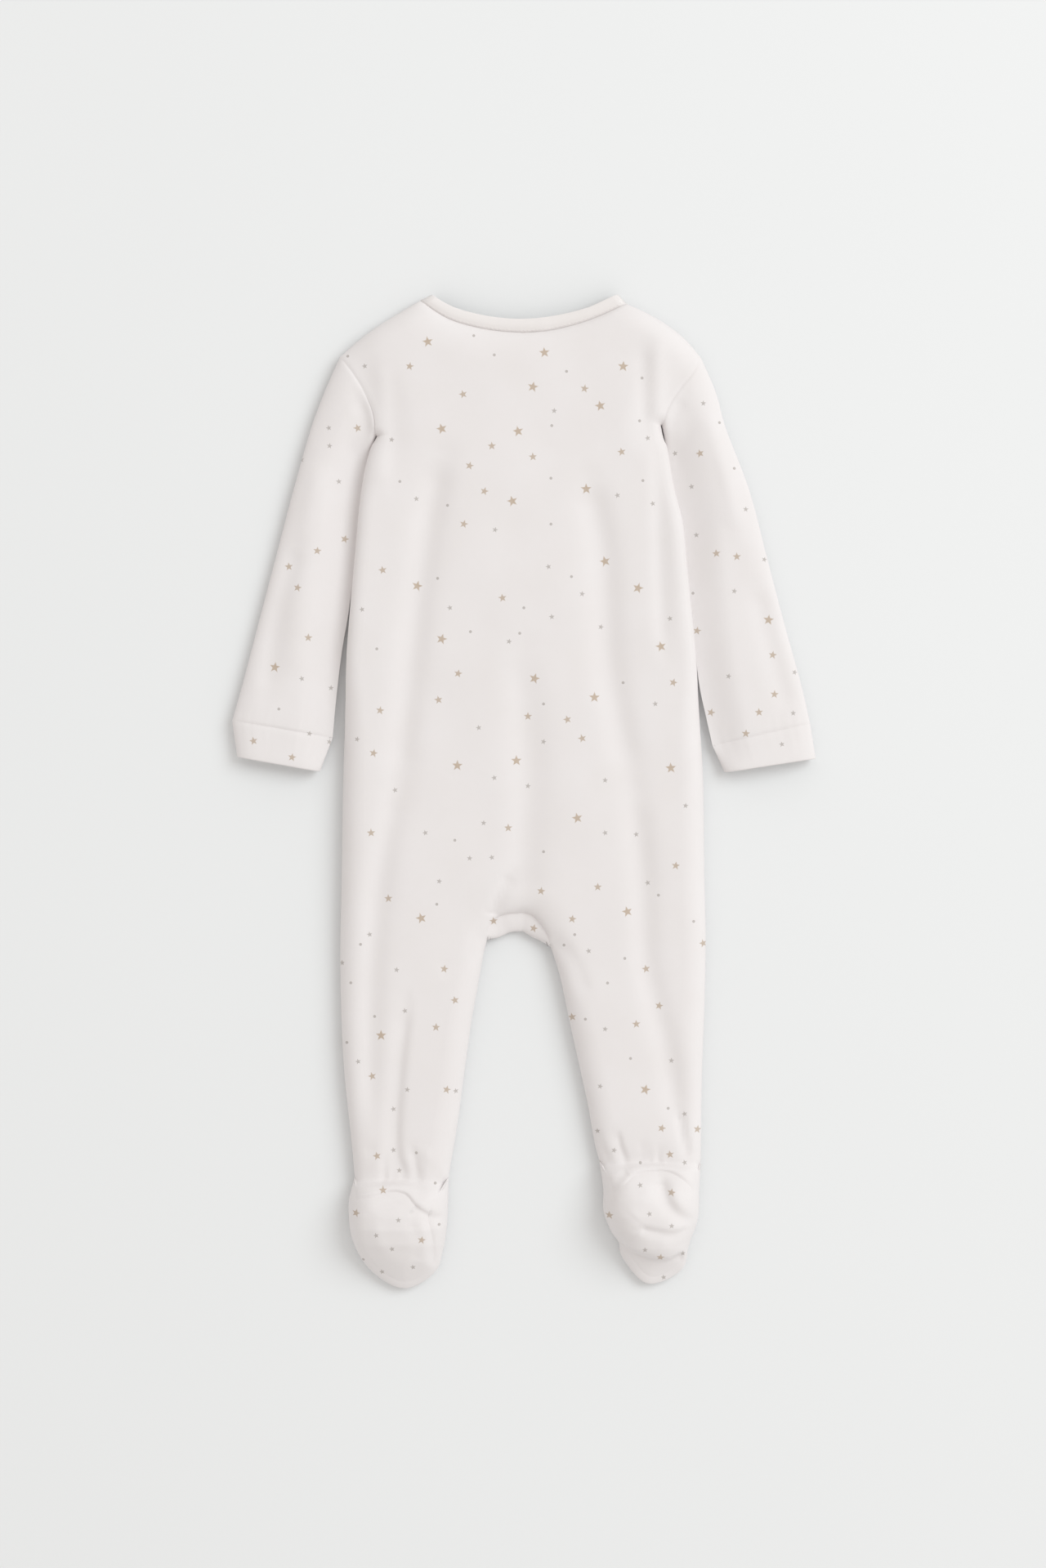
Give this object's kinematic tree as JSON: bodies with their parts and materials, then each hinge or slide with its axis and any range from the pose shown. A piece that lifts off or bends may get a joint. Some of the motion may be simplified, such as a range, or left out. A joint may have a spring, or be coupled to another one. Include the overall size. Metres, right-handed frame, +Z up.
{
  "type": "footed baby sleepsuit",
  "caption": "Long-sleeved baby sleepsuit with built-in feet and a star print, laid flat on its front with its back up.",
  "frame": {"origin": "centre of the box under the garment, on the surface that it lies on", "axes": "+X to the wearer's right side, which is the right seen from above, +Y from feet to neck, +Z up from the surface through the front to the back"},
  "size_m": [0.357, 0.6079, 0.0305],
  "materials": {
    "jersey": "fine cotton interlock jersey, warm white with a small taupe star print, matt",
    "binding": "plain cream-white cotton rib, folded double",
    "press_stud": "off-white enamelled snap caps, smooth"
  },
  "bodies": {
    "root": {"back": "jersey", "front_left": "jersey", "front_right": "jersey", "sleeve_left": "jersey", "sleeve_right": "jersey", "cuff_left": "jersey", "cuff_right": "jersey", "neck_binding": "binding", "gusset": "jersey", "placket": "binding", "foot_upper_left": "jersey", "foot_upper_right": "jersey", "sole_left": "jersey", "sole_right": "jersey", "stud_1": "press_stud", "stud_2": "press_stud", "stud_3": "press_stud", "stud_4": "press_stud", "stud_5": "press_stud", "stud_6": "press_stud", "stud_7": "press_stud"}
  },
  "joints": []
}
